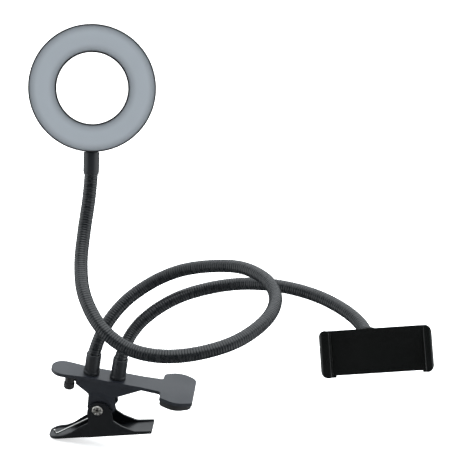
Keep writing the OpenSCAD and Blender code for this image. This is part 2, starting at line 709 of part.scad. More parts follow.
upper_lever();
upper_jaw_pad();
ferrule(ring_arm_x);  // ring_arm_ferrule
ferrule(phone_arm_x);  // phone_arm_ferrule
ferrule_nuts();
cable_gland();
pivot_rivet();
upper_spring_half();
lower_lever();
lower_spring_half();
ring_arm(1);  // ring_arm_1
ring_arm(2);  // ring_arm_2
ring_arm(3);  // ring_arm_3
ring_arm(4);  // ring_arm_4
ring_arm(5);  // ring_arm_5
ring_arm(6);  // ring_arm_6
ring_arm(7);  // ring_arm_7
ring_lead(1);  // ring_lead_1
ring_lead(2);  // ring_lead_2
ring_lead(3);  // ring_lead_3
ring_lead(4);  // ring_lead_4
ring_lead(5);  // ring_lead_5
ring_lead(6);  // ring_lead_6
ring_lead(7);  // ring_lead_7
ring_neck();
ring_neck_nut();
ring_housing();
ring_back_cover();
cover_screws();
diffuser();
led_board();
board_screws();
leds();
phone_arm(1);  // phone_arm_1
phone_arm(2);  // phone_arm_2
phone_arm(3);  // phone_arm_3
phone_arm(4);  // phone_arm_4
ball_stud();
ball_seat();
ball_lock_nut();
holder_front_plate();
holder_back_shell();
holder_screws();
jaw_spring();
fixed_jaw();
fixed_jaw_pad();
sliding_jaw();
sliding_jaw_pad();
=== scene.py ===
"""Looks of a clip-on ring light with a phone holder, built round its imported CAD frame."""

from math import acos, atan2, ceil, cos, floor, pi, radians, sin, tau

import bmesh
import bpy
from bpy.props import FloatProperty, FloatVectorProperty, IntProperty, PointerProperty
from mathutils import Euler, Matrix, Vector


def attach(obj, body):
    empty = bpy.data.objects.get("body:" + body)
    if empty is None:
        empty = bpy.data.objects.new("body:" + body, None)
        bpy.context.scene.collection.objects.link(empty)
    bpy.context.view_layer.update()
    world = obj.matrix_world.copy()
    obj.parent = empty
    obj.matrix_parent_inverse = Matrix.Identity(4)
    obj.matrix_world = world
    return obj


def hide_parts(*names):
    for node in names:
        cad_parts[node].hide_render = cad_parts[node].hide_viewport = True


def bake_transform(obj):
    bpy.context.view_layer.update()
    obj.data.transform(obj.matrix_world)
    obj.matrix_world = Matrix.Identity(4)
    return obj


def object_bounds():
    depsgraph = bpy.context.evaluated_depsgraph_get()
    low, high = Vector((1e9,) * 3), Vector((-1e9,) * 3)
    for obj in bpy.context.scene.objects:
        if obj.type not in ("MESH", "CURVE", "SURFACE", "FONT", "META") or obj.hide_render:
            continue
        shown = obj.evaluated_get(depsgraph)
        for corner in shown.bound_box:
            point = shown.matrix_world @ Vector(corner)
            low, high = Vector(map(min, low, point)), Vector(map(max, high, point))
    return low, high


bl_info = {
    "name": "Clip-on ring light",
    "version": (1, 0, 0),
    "blender": (4, 5, 0),
    "location": "3D View > Sidebar > Ring Light",
    "description": "Builds a ring light and a phone holder on two flexible arms and a clip",
    "category": "Object",
}

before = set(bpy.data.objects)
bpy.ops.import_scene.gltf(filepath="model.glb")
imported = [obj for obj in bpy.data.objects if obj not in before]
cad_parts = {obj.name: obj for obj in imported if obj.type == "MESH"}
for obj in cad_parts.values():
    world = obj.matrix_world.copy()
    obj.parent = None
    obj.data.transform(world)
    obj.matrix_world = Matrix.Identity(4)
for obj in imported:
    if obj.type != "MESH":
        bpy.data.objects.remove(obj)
CAD_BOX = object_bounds()
MM = 0.001

# Places that the pieces share, in millimetres, as in the part's own source
RING_ROUTE = [
    (-67.5, 0, 8), (-67.5, 0, 25), (-63, 8, 44), (-52, 21, 61), (-35, 31, 76), (-15, 30, 91),
    (8, 23, 103), (31, 11, 112), (50, -9, 115), (58, -33, 113), (53, -60, 109), (36, -84, 102),
    (12, -98, 95), (-13, -102, 89.5), (-37, -97, 88), (-58, -87, 95), (-74, -67, 106),
    (-82, -43, 117), (-85, -25, 134), (-86, -14, 154), (-87.5, -7.7, 172), (-89.2, -4.2, 182),
]
RING_BENDS = (1.7, 5, 9, 13, 16.5, 19)
RING_ENDS = (0.1, 20.9)
RING_BODIES = ("clip", "ring_arm_2", "ring_arm_3", "ring_arm_4", "ring_arm_5", "ring_arm_6",
               "ring_head")
PHONE_ROUTE = [
    (-47, 0, 8), (-47, 0, 25), (-42, 13, 41), (-30, 22, 56), (-12, 30, 69), (10, 37, 78),
    (32, 37, 86), (53, 26, 95), (74, 16, 100), (94, 4, 102.5), (111, -11, 103),
    (121.8, -25.3, 102.1), (128.6, -44.1, 101.3),
]
PHONE_BENDS = (1.7, 5.5, 9.5)
PHONE_ENDS = (0.1, 11.52)
PHONE_BODIES = ("clip", "phone_arm_2", "phone_arm_3", "phone_arm_end")

PIVOT = Vector((-58, 0, -19.5)) * MM
PLATE_TOP = 7.3 * MM
FERRULES = {"ring_arm_ferrule": -67.5 * MM, "phone_arm_ferrule": -47 * MM}
GLAND = Vector((-82.6, -5, 4.48)) * MM
BALL = Vector((128.6, -44.1, 101.3)) * MM
STUD_WAY = Vector((-0.34, 0.94, 0.04))
BALL_OFFSET = Vector((-3.9, 13, 8.5)) * MM


def turned(place, degrees_xyz):
    """Matrix of a piece's own frame: its place, and its turn about X, then Y, then Z."""
    turn = Euler([radians(a) for a in degrees_xyz], "XYZ").to_matrix().to_4x4()
    return Matrix.Translation(place) @ turn


RING_FRAME = turned(Vector((-97, 10.5, 229.5)) * MM, (-19.5, -6.5, 9))
HOLDER_FRAME = turned(BALL, (-28.5, -15.5, 1)) @ Matrix.Translation(-BALL_OFFSET)
# Frames whose +Z is the axis that a round piece turns about
RING_FRONT = RING_FRAME @ Matrix.Rotation(radians(90), 4, "X")
RIVET_FRONT = Matrix.Translation(PIVOT) @ Matrix.Rotation(radians(90), 4, "X")
STUD_FRAME = Matrix.Translation(BALL) @ STUD_WAY.to_track_quat("Z", "Y").to_matrix().to_4x4()


# ---- Settings ----

class ArmSettings(bpy.types.PropertyGroup):
    """Sizes and colour of the flexible arms' covers"""

    radius: FloatProperty(
        name="Radius", description="Outer radius of the cover", default=4.85 * MM,
        min=0.003, max=0.005, unit="LENGTH")
    rib_pitch: FloatProperty(
        name="Rib pitch", description="Distance from one rib to the next", default=1.9 * MM,
        min=0.001, max=0.004, unit="LENGTH")
    rib_depth: FloatProperty(
        name="Rib depth", description="Depth of the grooves between the ribs", default=0.18 * MM,
        min=0, max=0.0005, unit="LENGTH")
    sides: IntProperty(
        name="Sides", description="Number of faces round the cover", default=28, min=12, max=48)
    colour: FloatVectorProperty(
        name="Colour", description="Colour of the cover", subtype="COLOR",
        default=(0.005, 0.0065, 0.008), min=0, max=1)


class RingSettings(bpy.types.PropertyGroup):
    """Sizes and colours of the ring light"""

    outer: FloatProperty(
        name="Outer radius", description="Outer radius of the ring", default=45 * MM,
        min=0.03, max=0.06, unit="LENGTH")
    inner: FloatProperty(
        name="Hole radius", description="Radius of the hole in the ring", default=25.4 * MM,
        min=0.015, max=0.03, unit="LENGTH")
    rim: FloatProperty(
        name="Rim", description="Thickness of the black rims round the diffuser", default=0.8 * MM,
        min=0.0005, max=0.002, unit="LENGTH")
    dome: FloatProperty(
        name="Dome", description="How far the diffuser rises between its rims", default=1 * MM,
        min=0, max=0.003, unit="LENGTH")
    diffuser_colour: FloatVectorProperty(
        name="Diffuser colour", description="Colour of the frosted front", subtype="COLOR",
        default=(0.33, 0.36, 0.39), min=0, max=1)
    shell_colour: FloatVectorProperty(
        name="Shell colour", description="Colour of the ring's housing", subtype="COLOR",
        default=(0.006, 0.006, 0.0065), min=0, max=1)


class ClipSettings(bpy.types.PropertyGroup):
    """Finish of the clip"""

    edge: FloatProperty(
        name="Edge rounding", description="Width of the rounding on moulded edges",
        default=0.3 * MM, min=0, max=0.0006, unit="LENGTH")
    # Painted highlight: the upper lever's colour is partly its own grey and partly lifted to stand in for
    # the sheen on its top.
    upper_colour_and_sheen: FloatVectorProperty(
        name="Upper lever colour", description="Colour of the upper lever", subtype="COLOR",
        default=(0.014, 0.0165, 0.022), min=0, max=1)
    lower_colour: FloatVectorProperty(
        name="Lower lever colour", description="Colour of the lower lever", subtype="COLOR",
        default=(0.006, 0.007, 0.0085), min=0, max=1)


class HolderSettings(bpy.types.PropertyGroup):
    """Finish of the phone holder"""

    edge: FloatProperty(
        name="Edge rounding", description="Width of the rounding on moulded edges",
        default=0.3 * MM, min=0, max=0.0006, unit="LENGTH")
    colour: FloatVectorProperty(
        name="Colour", description="Colour of the holder's plastic", subtype="COLOR",
        default=(0.0035, 0.004, 0.0038), min=0, max=1)


class StageSettings(bpy.types.PropertyGroup):
    """Camera, floor and light"""

    aim: FloatVectorProperty(
        name="Aim", description="Point that the camera looks at", subtype="TRANSLATION",
        unit="LENGTH", default=(0.0183, 0.0075, 0.141))
    distance: FloatProperty(
        name="Distance", description="Distance from the camera to its aim", default=1.06,
        min=0.3, max=3, unit="LENGTH")
    elevation: FloatProperty(
        name="Elevation", description="Height of the view above the clip's plate",
        default=radians(24), min=0, max=pi / 2, unit="ROTATION", subtype="ANGLE")
    roll: FloatProperty(
        name="Roll", description="Turn of the camera about its own axis", default=radians(10.4),
        min=-pi, max=pi, unit="ROTATION", subtype="ANGLE")
    lens: FloatProperty(
        name="Lens", description="Focal length on a 36 mm sensor, in millimetres", default=112.7,
        min=20, max=300)
    floor_colour: FloatVectorProperty(
        name="Floor colour", description="Colour of the floor", subtype="COLOR",
        default=(0.9, 0.9, 0.9), min=0, max=1)
    floor_glow: FloatProperty(
        name="Floor glow", description="Light that the floor gives off, as a lit table would",
        default=0.6, min=0, max=1)


# ---- Shapes ----

def smooth_point(route, t):
    """Point at position t on the smooth curve through a route's points."""
    last = len(route) - 1
    i = min(floor(t), last - 1)
    f = t - i
    a, b, c, d = (Vector(route[k]) * MM for k in (max(i - 1, 0), i, i + 1, min(i + 2, last)))
    return (2 * b + (c - a) * f + (2 * a - 5 * b + 4 * c - d) * f * f
            + (3 * b - a - 3 * c + d) * f ** 3) / 2


def stations(route, ends, spacing):
    """Evenly spaced (point, tangent, side vector, distance) along a route between two positions."""
    fine = 40
    start, end = ends
    count = ceil((end - start) * fine)
    points = [smooth_point(route, start + (end - start) * i / count) for i in range(count + 1)]
    far = [0.0]
    for p, q in zip(points, points[1:]):
        far.append(far[-1] + (q - p).length)
    total = floor(far[-1] / spacing)
    spread = []
    k = 0
    for i in range(total + 1):
        s = far[-1] * i / total
        while far[k + 1] < s and k < count - 1:
            k += 1
        spread.append((points[k].lerp(points[k + 1], (s - far[k]) / (far[k + 1] - far[k])), s))
    found = []
    side = Vector((1, 0, 0))
    for i, (p, s) in enumerate(spread):
        way = (spread[min(i + 1, total)][0] - spread[max(i - 1, 0)][0]).normalized()
        side = (side - side.dot(way) * way).normalized()
        found.append((p, way, side, s))
    return found


def new_object(name, points, faces, smooth_angle=35, uvs=None):
    """Object in the row frame, smooth-shaded up to an angle in degrees, with outward faces."""
    mesh = bpy.data.meshes.new(name)
    mesh.from_pydata(points, [], faces)
    if uvs:
        layer = mesh.uv_layers.new(name="along")
        for loop in mesh.loops:
            layer.data[loop.index].uv = uvs[loop.vertex_index]
    else:
        with_bmesh(mesh, lambda bm: bmesh.ops.recalc_face_normals(bm, faces=bm.faces))
    mesh.shade_smooth()
    mesh.set_sharp_from_angle(angle=radians(smooth_angle))
    obj = bpy.data.objects.new(name, mesh)
    bpy.context.scene.collection.objects.link(obj)
    return obj


def with_bmesh(mesh, change):
    """Runs a change on a mesh through bmesh."""
    bm = bmesh.new()
    bm.from_mesh(mesh)
    change(bm)
    bm.to_mesh(mesh)
    bm.free()


def tube(name, line, radius, sides):
    """Round bar with flat ends along (point, tangent, side vector, distance) stations."""
    points, uvs, faces = [], [], []
    for p, way, side, s in line:
        across = way.cross(side)
        r = radius(s)
        for j in range(sides + 1):
            a = tau * j / sides
            points.append(p + r * (cos(a) * side + sin(a) * across))
            uvs.append((j / sides, s / (tau * radius(0))))
    ring = sides + 1
    for k in range(len(line) - 1):
        for j in range(sides):
            low = k * ring + j
            faces.append((low, low + 1, low + ring + 1, low + ring))
    last = (len(line) - 1) * ring
    faces.append(tuple(range(sides - 1, -1, -1)))
    faces.append(tuple(last + j for j in range(sides)))
    obj = new_object(name, points, faces, 60, uvs)
    with_bmesh(obj.data, lambda bm: bmesh.ops.remove_doubles(bm, verts=bm.verts, dist=1e-7))
    return obj


def rounded(corners, steps=6):
    """Closed outline through (x, y, corner radius) corners, as points."""
    outline = []
    for i, (x, y, r) in enumerate(corners):
        p = Vector((x, y))
        if r == 0:
            outline.append(p)
            continue
        u = (Vector(corners[i - 1][:2]) - p).normalized()
        w = (Vector(corners[(i + 1) % len(corners)][:2]) - p).normalized()
        half = acos(max(-1, min(1, u.dot(w)))) / 2
        centre = p + (u + w).normalized() * r / sin(half)
        s = p + u * r * cos(half) / sin(half) - centre
        e = p + w * r * cos(half) / sin(half) - centre
        turn = atan2(s.x * e.y - s.y * e.x, s.dot(e))
        for k in range(steps + 1):
            a = atan2(s.y, s.x) + turn * k / steps
            outline.append(centre + r * Vector((cos(a), sin(a))))
    return outline


def lathe(name, corners, place, segments=96, steps=6):
    """Piece turned about +Z of a frame, from a closed outline of (radius, height, rounding)."""
    outline = rounded(corners, steps)
    n = len(outline)
    points = []
    for i in range(segments):
        a = tau * i / segments
        points += [place @ Vector((p.x * cos(a), p.x * sin(a), p.y)) for p in outline]
    faces = []
    for i in range(segments):
        here, there = i * n, (i + 1) % segments * n
        faces += [(here + k, there + k, there + (k + 1) % n, here + (k + 1) % n) for k in range(n)]
    obj = new_object(name, points, faces)
    with_bmesh(obj.data, close_axis)
    obj.data.set_sharp_from_angle(angle=radians(35))
    return obj


def close_axis(bm):
    """Merges the points that a lathe leaves on its axis, and drops faces with no area."""
    bmesh.ops.remove_doubles(bm, verts=bm.verts, dist=1e-6)
    bmesh.ops.dissolve_degenerate(bm, edges=bm.edges, dist=1e-7)
    bmesh.ops.recalc_face_normals(bm, faces=bm.faces)


def dressed(node, width, suffix="shell"):
    """Copy of a CAD node with rounded edges, which stands for the node."""
    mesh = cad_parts[node].data.copy()
    mesh.name = f"{node}_{suffix}"
    mesh.materials.clear()
    for attribute in ("custom_normal", "sharp_face", "sharp_edge"):
        if mesh.attributes.get(attribute):
            mesh.attributes.remove(mesh.attributes[attribute])

    def round_edges(bm):
        bmesh.ops.remove_doubles(bm, verts=bm.verts, dist=2e-6)
        edges = [e for e in bm.edges if e.is_manifold and e.calc_face_angle(0) > radians(32)]
        if width > 0:
            bmesh.ops.bevel(
                bm, geom=edges, offset=width, segments=2, profile=0.6, affect="EDGES",
                clamp_overlap=False, miter_outer="SHARP")

    with_bmesh(mesh, round_edges)
    mesh.shade_smooth()
    mesh.set_sharp_from_angle(angle=radians(30))
    obj = bpy.data.objects.new(mesh.name, mesh)
    bpy.context.scene.collection.objects.link(obj)
    flatten = obj.modifiers.new("flat faces", "WEIGHTED_NORMAL")
    flatten.keep_sharp = True
    return obj


def place_piece(obj, body, material, slot_name, *nodes):
    """Gives a piece its material and body, and hides the CAD nodes that it stands for; slot_name is not
    used.
    """
    obj.data.materials.clear()
    obj.data.materials.append(material)
    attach(obj, body)
    if nodes:
        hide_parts(*nodes)
    return obj


# ---- Shader groups ----

def new_group(name, inputs, outputs):
    """Empty shader group with float or vector inputs and float outputs."""
    tree = bpy.data.node_groups.new(name, "ShaderNodeTree")
    tree.interface.new_socket(name="Vector", in_out="INPUT", socket_type="NodeSocketVector")
    for label, value in inputs:
        made = tree.interface.new_socket(name=label, in_out="INPUT", socket_type="NodeSocketFloat")
        made.default_value = value
    for label in outputs:
        tree.interface.new_socket(name=label, in_out="OUTPUT", socket_type="NodeSocketFloat")
    return tree, tree.nodes.new("NodeGroupInput"), tree.nodes.new("NodeGroupOutput")


def noise(tree, vector, scale, detail=3.0, roughness=0.55):
    """Noise texture on a vector, with a number or a socket as its scale."""
    node = tree.nodes.new("ShaderNodeTexNoise")
    node.inputs["Detail"].default_value = detail
    node.inputs["Roughness"].default_value = roughness
    tree.links.new(vector, node.inputs["Vector"])
    if isinstance(scale, (int, float)):
        node.inputs["Scale"].default_value = scale
    else:
        tree.links.new(scale, node.inputs["Scale"])
    return node.outputs["Fac"]


def math_node(tree, operation, a, b):
    """Math node on two sockets or numbers."""
    node = tree.nodes.new("ShaderNodeMath")
    node.operation = operation
    for value, socket in zip((a, b), node.inputs):
        if isinstance(value, (int, float)):
            socket.default_value = value
        else:
            tree.links.new(value, socket)
    return node.outputs[0]


def ramp(tree, value, low, high):
    """Value clamped and spread from 0 at low to 1 at high."""
    node = tree.nodes.new("ShaderNodeMapRange")
    node.interpolation_type = "SMOOTHSTEP"
    node.inputs["From Min"].default_value = low
    node.inputs["From Max"].default_value = high
    tree.links.new(value, node.inputs["Value"])
    return node.outputs["Result"]


def moulded_grain():
    """Fine spark-eroded grain of moulded plastic or rubber, and slow patches of gloss."""
    tree, ins, outs = new_group("Moulded grain", [("Scale", 1800.0)], ["Height", "Patches"])
    fine = noise(tree, ins.outputs["Vector"], ins.outputs["Scale"], 2.0, 0.6)
    coarse = noise(tree, ins.outputs["Vector"], math_node(tree, "MULTIPLY", ins.outputs["Scale"], 0.35))
    slow = noise(tree, ins.outputs["Vector"], math_node(tree, "MULTIPLY", ins.outputs["Scale"], 0.02), 4.0)
    tree.links.new(math_node(tree, "ADD", fine, coarse), outs.inputs["Height"])
    tree.links.new(ramp(tree, slow, 0.35, 0.68), outs.inputs["Patches"])
    return tree


def rubbed_edges():
    """Mask of convex edges that hands have rubbed smoother and lighter."""
    tree, ins, outs = new_group("Rubbed edges", [("Amount", 0.6)], ["Mask"])
    bend = tree.nodes.new("ShaderNodeNewGeometry").outputs["Pointiness"]
    edge = ramp(tree, bend, 0.51, 0.6)
    worn = ramp(tree, noise(tree, ins.outputs["Vector"], 420.0, 4.0), 0.3, 0.62)
    both = math_node(tree, "MULTIPLY", edge, worn)
    tree.links.new(math_node(tree, "MULTIPLY", both, ins.outputs["Amount"]), outs.inputs["Mask"])
    return tree


def drawn_metal():
    """Fine scratches and a slow tarnish on bare metal."""
    tree, ins, outs = new_group("Drawn metal", [("Scale", 900.0)], ["Height", "Tarnish"])
    stretch = tree.nodes.new("ShaderNodeVectorMath")
    stretch.operation = "MULTIPLY"
    stretch.inputs[1].default_value = (1.0, 1.0, 7.0)
    tree.links.new(ins.outputs["Vector"], stretch.inputs[0])
    streaks = noise(tree, stretch.outputs[0], ins.outputs["Scale"], 3.0, 0.7)
    slow = noise(tree, ins.outputs["Vector"], math_node(tree, "MULTIPLY", ins.outputs["Scale"], 0.12), 3.0)
    tree.links.new(streaks, outs.inputs["Height"])
    tree.links.new(ramp(tree, slow, 0.38, 0.7), outs.inputs["Tarnish"])
    return tree


def hose_cover():
    """Grain of the arms' cover: fine grit, and faint marks round each rib."""
    tree, ins, outs = new_group("Hose cover", [("Scale", 60.0)], ["Height", "Rubbed"])
    round_it = tree.nodes.new("ShaderNodeVectorMath")
    round_it.operation = "MULTIPLY"
    round_it.inputs[1].default_value = (0.35, 1.0, 1.0)
    tree.links.new(ins.outputs["Vector"], round_it.inputs[0])
    grit = noise(tree, ins.outputs["Vector"], ins.outputs["Scale"], 3.0, 0.65)
    bands = noise(tree, round_it.outputs[0], math_node(tree, "MULTIPLY", ins.outputs["Scale"], 0.22), 3.0)
    tree.links.new(grit, outs.inputs["Height"])
    tree.links.new(ramp(tree, bands, 0.32, 0.7), outs.inputs["Rubbed"])
    return tree


GROUP_MAKERS = {"grain": moulded_grain, "rubbed": rubbed_edges, "metal": drawn_metal, "hose": hose_cover}
GROUPS = {}


def group_tree(key):
    """Shared shader group, made once."""
    if key not in GROUPS:
        GROUPS[key] = GROUP_MAKERS[key]()
    return GROUPS[key]


# ---- Materials ----

class Finish:
    """A material with a Principled shader, and short ways to drive it from the shared groups."""

    def __init__(self, name, coordinates="Object", **values):
        self.material = bpy.data.materials.new(name)
        self.material.use_nodes = True
        self.tree = self.material.node_tree
        self.shader = self.tree.nodes["Principled BSDF"]
        self.vector = self.tree.nodes.new("ShaderNodeTexCoord").outputs[coordinates]
        for label, value in values.items():
            self.shader.inputs[label.replace("_", " ")].default_value = value

    def group(self, key, **values):
        """Places a shared group on this material's coordinates."""
        node = self.tree.nodes.new("ShaderNodeGroup")
        node.node_tree = group_tree(key)
        self.tree.links.new(self.vector, node.inputs["Vector"])
        for label, value in values.items():
            node.inputs[label].default_value = value
        return node.outputs

    def colour(self, mask, low, high):
        """Base colour that runs from low to high with a mask."""
        mix = self.tree.nodes.new("ShaderNodeMix")
        mix.data_type = "RGBA"
        mix.inputs["A"].default_value = (*low, 1)
        mix.inputs["B"].default_value = (*high, 1)
        self.tree.links.new(mask, mix.inputs["Factor"])
        self.tree.links.new(mix.outputs["Result"], self.shader.inputs["Base Color"])

    def roughness(self, mask, low, high):
        """Roughness that runs from low to high with a mask."""
        node = self.tree.nodes.new("ShaderNodeMapRange")
        node.inputs["To Min"].default_value = low
        node.inputs["To Max"].default_value = high
        self.tree.links.new(mask, node.inputs["Value"])
        self.tree.links.new(node.outputs["Result"], self.shader.inputs["Roughness"])

    def bump(self, height, depth, strength=1.0):
        """Bump from a height, with its depth in metres."""
        node = self.tree.nodes.new("ShaderNodeBump")
        node.inputs["Strength"].default_value = strength
        node.inputs["Distance"].default_value = depth
        self.tree.links.new(height, node.inputs["Height"])
        self.tree.links.new(node.outputs["Normal"], self.shader.inputs["Normal"])


def lighter(colour, by):
    """Colour moved towards white by a share."""
    return tuple(c + (1 - c) * by for c in colour)


def moulded(name, colour, gloss=(0.3, 0.42), grain=0.018 * MM, scale=1800.0, rub=0.012):
    """Moulded plastic or rubber: grained, a little patchy in gloss, rubbed on its edges."""
    made = Finish(name)
    surface = made.group("grain", Scale=scale)
    worn = made.group("rubbed")
    made.colour(worn["Mask"], colour, lighter(colour, rub))
    made.roughness(surface["Patches"], *gloss)
    made.bump(surface["Height"], grain, 0.5)
    return made.material


def bare_metal(name, colour, dark, gloss, scale=900.0):
    """Bare or plated metal: scratched along, slightly tarnished."""
    made = Finish(name, Metallic=1.0)
    surface = made.group("metal", Scale=scale)
    made.colour(surface["Tarnish"], colour, dark)
    made.roughness(surface["Tarnish"], *gloss)
    made.bump(surface["Height"], 0.01 * MM, 0.4)
    return made.material


def cover_material(colour, ribs):
    """Black ribbed cover of the arms, dull in the grooves; ribs is their count per unit of UV."""
    made = Finish("Arm cover", "UV")
    split = made.tree.nodes.new("ShaderNodeSeparateXYZ")
    made.tree.links.new(made.vector, split.inputs["Vector"])
    turn = math_node(made.tree, "MULTIPLY", split.outputs["Y"], ribs)
    saw = math_node(made.tree, "FRACT", math_node(made.tree, "ADD", turn, 0.5), 0)
    off = math_node(made.tree, "ABSOLUTE", math_node(made.tree, "SUBTRACT", saw, 0.5), 0)
    crest = math_node(made.tree, "MULTIPLY", ramp(made.tree, off, 0.04, 0.2), 0.42)
    level = math_node(made.tree, "ADD", crest, 0.16)
    made.tree.links.new(level, made.shader.inputs["Specular IOR Level"])
    surface = made.group("hose")
    made.colour(surface["Rubbed"], colour, lighter(colour, 0.012))
    made.roughness(surface["Rubbed"], 0.24, 0.31)
    made.bump(surface["Height"], 0.02 * MM, 0.4)
    return made.material


def diffuser_with_painted_shade(colour):
    """Frosted plastic, with painted shade that darkens its colour towards the two rims where it curves down
    to them.
    """
    made = Finish("Frosted diffuser", "UV", Roughness=0.55)
    split = made.tree.nodes.new("ShaderNodeSeparateXYZ")
    made.tree.links.new(made.vector, split.inputs["Vector"])
    middle = math_node(made.tree, "ABSOLUTE", math_node(made.tree, "SUBTRACT", split.outputs["X"], 0.5), 0)
    mottle = noise(made.tree, made.vector, 14.0, 3.0)
    edge = math_node(made.tree, "ADD", middle, math_node(made.tree, "MULTIPLY", mottle, 0.03))
    # Painted shade: edge is the mask that darkens the colour towards both rims, standing in for the shade
    # where the dome curves down; the noise only wobbles its border.
    made.colour(ramp(made.tree, edge, 0.2, 0.56), colour, tuple(0.62 * c for c in colour))
    made.bump(noise(made.tree, made.vector, 700.0, 2.0), 0.01 * MM, 0.3)
    return made.material


# ---- Operators ----

class Build:
    """What the building operators share."""

    bl_options = {"REGISTER", "UNDO"}

    def execute(self, context):
        self.build(context.scene)
        return {"FINISHED"}


class RINGLIGHT_OT_arms(Build, bpy.types.Operator):
    """Build the ribbed covers of both flexible arms, in lengths that each run across one of the arms'
    joints
    """

    bl_idname = "ring_light.arms"
    bl_label = "Flexible arms"

    def build(self, scene):
        look = scene.ring_light_arms
        around = tau * (look.radius - look.rib_depth)
        cover = cover_material(look.colour, around / look.rib_pitch)
        self.arm("ring_arm", RING_ROUTE, RING_ENDS, RING_BENDS, RING_BODIES, look, cover)
        self.arm("phone_arm", PHONE_ROUTE, PHONE_ENDS, PHONE_BENDS, PHONE_BODIES, look, cover)

    def arm(self, name, route, ends, bends, bodies, look, cover):
        """One arm, cut halfway between its bends."""
        steps = 8
        line = stations(route, ends, look.rib_pitch / steps)

        def radius(s):
            groove = ((1 + cos(tau * s / look.rib_pitch)) / 2) ** 4
            return look.radius - look.rib_depth * groove

        def nearest(t):
            goal = smooth_point(route, t)
            return min(range(len(line)), key=lambda i: (line[i][0] - goal).length)

        middles = [(a + b) / 2 for a, b in zip(bends, bends[1:])]
        cuts = [0, *(nearest(t) // steps * steps for t in middles), len(line) - 1]
        for k, bend in enumerate(bends):
            piece = tube(f"{name}_cover_{k + 1}", line[cuts[k]:cuts[k + 1] + 1], radius, look.sides)
            piece.data.materials.append(cover)
            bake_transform(piece)
            nodes = [f"{name}_{k + 1}"]
            if k == len(bends) - 1:
                nodes.append(f"{name}_{k + 2}")
            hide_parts(*nodes)


class RINGLIGHT_OT_ring(Build, bpy.types.Operator):
    """Build the ring light: its housing, back cover, diffuser and neck"""

    bl_idname = "ring_light.ring"
    bl_label = "Ring light"

    def build(self, scene):
        look = scene.ring_light_ring
        outer, inner, rim = look.outer, look.inner, look.rim
        front, back, cover = 5.5 * MM, -7.5 * MM, 1.6 * MM
        shell = moulded("Ring housing", look.shell_colour, (0.28, 0.38))
        seam = back + cover
        walls = lathe("ring_outer_wall", [
            (outer - rim, seam + 0.1 * MM, 0), (outer, seam + 0.1 * MM, 0.2 * MM),
            (outer, front, 0.45 * MM), (outer - rim, front, 0.3 * MM),
            (outer - rim, 2 * MM, 0), (outer - rim - 1.4 * MM, 2 * MM, 0),
            (outer - rim - 1.4 * MM, 1 * MM, 0), (outer - rim, 1 * MM, 0)], RING_FRONT, 160)
        place_piece(walls, "ring_head", shell, "ring_black", "ring_housing")
        hole = lathe("ring_inner_wall", [
            (inner, seam + 0.1 * MM, 0.2 * MM), (inner + rim, seam + 0.1 * MM, 0),
            (inner + rim, 1 * MM, 0), (inner + rim + 1.4 * MM, 1 * MM, 0),
            (inner + rim + 1.4 * MM, 2 * MM, 0), (inner + rim, 2 * MM, 0),
            (inner + rim, front, 0.3 * MM), (inner, front, 0.45 * MM)], RING_FRONT, 160)
        place_piece(hole, "ring_head", shell, "ring_black")
        plate = lathe("ring_back_plate", [
            (inner, seam, 0.2 * MM), (inner, back, 1.3 * MM), (outer, back, 1.3 * MM),
            (outer, seam, 0.2 * MM)], RING_FRONT, 160)
        place_piece(plate, "ring_head", shell, "ring_black", "ring_back_cover")
        self.front(look, front)
        self.neck()

    def front(self, look, front):
        """Frosted annulus, domed between the rims, with its across coordinate, which places the material's
        painted rim shade.
        """
        low, high = look.inner + look.rim + 0.1 * MM, look.outer - look.rim - 0.1 * MM
        across, round_it = 24, 160
        edge = front - 0.5 * MM
        outline = [(low, 2.1 * MM, 0)]
        for k in range(across + 1):
            s = 2 * k / across - 1
            outline.append((low + (high - low) * k / across, edge + look.dome * (1 - s * s), 0))
        outline.append((high, 2.1 * MM, 0))
        obj = lathe("diffuser_ring", outline, RING_FRONT, round_it)
        back_to_flat = RING_FRONT.inverted()
        layer = obj.data.uv_layers.new(name="along")
        for loop in obj.data.loops:
            p = back_to_flat @ obj.data.vertices[loop.vertex_index].co
            share = (Vector((p.x, p.y)).length - low) / (high - low)
            layer.data[loop.index].uv = (share, abs(atan2(p.y, p.x)) / pi)
        place_piece(obj, "ring_head", diffuser_with_painted_shade(look.diffuser_colour), "diffuser_white",
                    "diffuser")

    def neck(self):
        """Collar between the arm and the ring, with a rounded lip."""
        below = RING_FRAME @ Matrix.Translation((0, 1.5 * MM, 0)) @ Matrix.Rotation(pi, 4, "X")
        bore = 4.9 * MM
        collar = lathe("neck_collar", [
            (bore, 48 * MM, 0), (2 * MM, 48 * MM, 0), (2 * MM, 45.2 * MM, 0),
            (5.6 * MM, 45.2 * MM, 0.2 * MM), (5.65 * MM, 58.6 * MM, 0.5 * MM),
            (5.3 * MM, 61 * MM, 0.5 * MM), (bore, 61 * MM, 0.2 * MM)], below, 64)
        black = moulded("Neck collar", (0.013, 0.0145, 0.017), (0.3, 0.4))
        place_piece(collar, "ring_head", black, "ferrule_black", "ring_neck")


